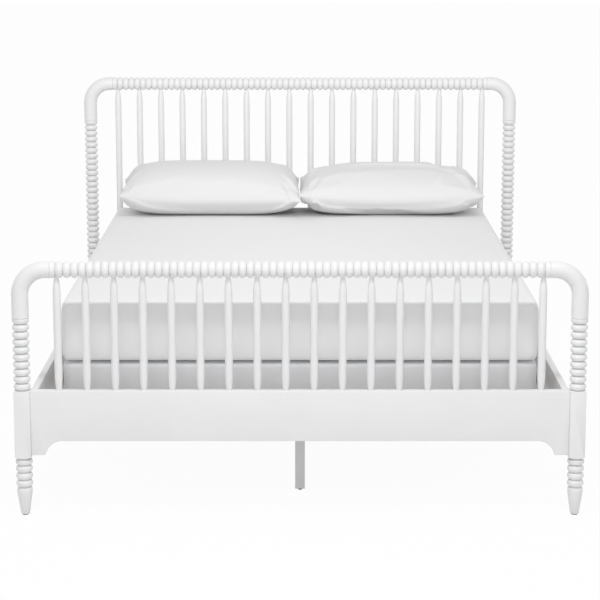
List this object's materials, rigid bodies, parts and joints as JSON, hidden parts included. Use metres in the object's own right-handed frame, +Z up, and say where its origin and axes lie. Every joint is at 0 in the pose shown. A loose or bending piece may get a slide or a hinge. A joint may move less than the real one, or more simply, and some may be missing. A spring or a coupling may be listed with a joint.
{
  "type": "spindle bed",
  "caption": "White bobbin-turned spindle bed: beaded posts and arched rails over slim spindles, plain lower panels, slats, box spring, mattress and pillows.",
  "frame": {"origin": "on the floor under the middle of the bed, midway between the headboard and the footboard", "axes": "+X across the bed to the right as seen from the footboard, +Y along the bed towards the headboard, +Z up"},
  "size_m": [1.69, 2.14, 1.124],
  "materials": {
    "white_paint": "satin white paint over wood",
    "bare_wood": "planed, unpainted",
    "zinc_steel": "zinc plated",
    "dark_plastic": "matt moulded plastic",
    "bedding_cloth": "plain white cloth",
    "pillow_cloth": "plain white cotton"
  },
  "bodies": {
    "frame": {"bracket_screws": "zinc_steel", "centre_leg_1": "white_paint", "centre_leg_2": "white_paint", "centre_leg_3": "white_paint", "centre_leg_4": "white_paint", "centre_leg_5": "white_paint", "cleat_left": "bare_wood", "cleat_right": "bare_wood", "cleat_screws": "zinc_steel", "foot_bracket_left": "zinc_steel", "foot_bracket_right": "zinc_steel", "footboard_elbow_left": "white_paint", "footboard_elbow_right": "white_paint", "footboard_panel": "white_paint", "footboard_post_left": "white_paint", "footboard_post_right": "white_paint", "footboard_spindles": "white_paint", "footboard_top_rail": "white_paint", "head_bracket_left": "zinc_steel", "head_bracket_right": "zinc_steel", "headboard_elbow_left": "white_paint", "headboard_elbow_right": "white_paint", "headboard_panel": "white_paint", "headboard_post_left": "white_paint", "headboard_post_right": "white_paint", "headboard_spindles": "white_paint", "headboard_top_rail": "white_paint", "joint_dowels": "bare_wood", "leg_bolts": "zinc_steel", "post_glides": "dark_plastic", "side_rail_left": "white_paint", "side_rail_right": "white_paint", "slat_1": "bare_wood", "slat_2": "bare_wood", "slat_3": "bare_wood", "slat_4": "bare_wood", "slat_5": "bare_wood", "slat_screws": "zinc_steel", "threaded_inserts": "zinc_steel"},
    "box_spring": {"box_spring": "bedding_cloth"},
    "mattress": {"mattress": "bedding_cloth"},
    "pillow_left": {"pillow_left": "pillow_cloth"},
    "pillow_right": {"pillow_right": "pillow_cloth"},
    "pad_1": {"levelling_pad_1": "dark_plastic"},
    "stud_1": {"levelling_stud_1": "zinc_steel"},
    "pad_2": {"levelling_pad_2": "dark_plastic"},
    "stud_2": {"levelling_stud_2": "zinc_steel"},
    "pad_3": {"levelling_pad_3": "dark_plastic"},
    "stud_3": {"levelling_stud_3": "zinc_steel"},
    "pad_4": {"levelling_pad_4": "dark_plastic"},
    "stud_4": {"levelling_stud_4": "zinc_steel"},
    "pad_5": {"levelling_pad_5": "dark_plastic"},
    "stud_5": {"levelling_stud_5": "zinc_steel"}
  },
  "joints": [
    {"name": "box_spring_lift", "type": "slide", "parent": "frame", "child": "box_spring", "axis": [0, 0, 1], "range_m": [0, 0.9]},
    {"name": "mattress_lift", "type": "slide", "parent": "box_spring", "child": "mattress", "axis": [0, 0, 1], "range_m": [0, 0.7]},
    {"name": "pillow_left_lift", "type": "slide", "parent": "mattress", "child": "pillow_left", "axis": [0, 0, 1], "range_m": [0, 0.5]},
    {"name": "pillow_right_lift", "type": "slide", "parent": "mattress", "child": "pillow_right", "axis": [0, 0, 1], "range_m": [0, 0.5]},
    {"name": "levelling_slide_1", "type": "slide", "parent": "frame", "child": "pad_1", "axis": [0, 0, -1], "range_m": [0, 0.012]},
    {"name": "levelling_turn_1", "type": "hinge", "parent": "pad_1", "child": "stud_1", "pos_m": [0, -0.79, 0.02], "axis": [0, 0, -1], "range_deg": [0, 3456]},
    {"name": "levelling_slide_2", "type": "slide", "parent": "frame", "child": "pad_2", "axis": [0, 0, -1], "range_m": [0, 0.012]},
    {"name": "levelling_turn_2", "type": "hinge", "parent": "pad_2", "child": "stud_2", "pos_m": [0, -0.395, 0.02], "axis": [0, 0, -1], "range_deg": [0, 3456]},
    {"name": "levelling_slide_3", "type": "slide", "parent": "frame", "child": "pad_3", "axis": [0, 0, -1], "range_m": [0, 0.012]},
    {"name": "levelling_turn_3", "type": "hinge", "parent": "pad_3", "child": "stud_3", "pos_m": [0, 0, 0.02], "axis": [0, 0, -1], "range_deg": [0, 3456]},
    {"name": "levelling_slide_4", "type": "slide", "parent": "frame", "child": "pad_4", "axis": [0, 0, -1], "range_m": [0, 0.012]},
    {"name": "levelling_turn_4", "type": "hinge", "parent": "pad_4", "child": "stud_4", "pos_m": [0, 0.395, 0.02], "axis": [0, 0, -1], "range_deg": [0, 3456]},
    {"name": "levelling_slide_5", "type": "slide", "parent": "frame", "child": "pad_5", "axis": [0, 0, -1], "range_m": [0, 0.012]},
    {"name": "levelling_turn_5", "type": "hinge", "parent": "pad_5", "child": "stud_5", "pos_m": [0, 0.79, 0.02], "axis": [0, 0, -1], "range_deg": [0, 3456]}
  ],
  "couplings": [
    {"joint": "levelling_turn_1", "follows": "levelling_slide_1", "rad_per_m": 5026.5},
    {"joint": "levelling_turn_2", "follows": "levelling_slide_2", "rad_per_m": 5026.5},
    {"joint": "levelling_turn_3", "follows": "levelling_slide_3", "rad_per_m": 5026.5},
    {"joint": "levelling_turn_4", "follows": "levelling_slide_4", "rad_per_m": 5026.5},
    {"joint": "levelling_turn_5", "follows": "levelling_slide_5", "rad_per_m": 5026.5}
  ]
}
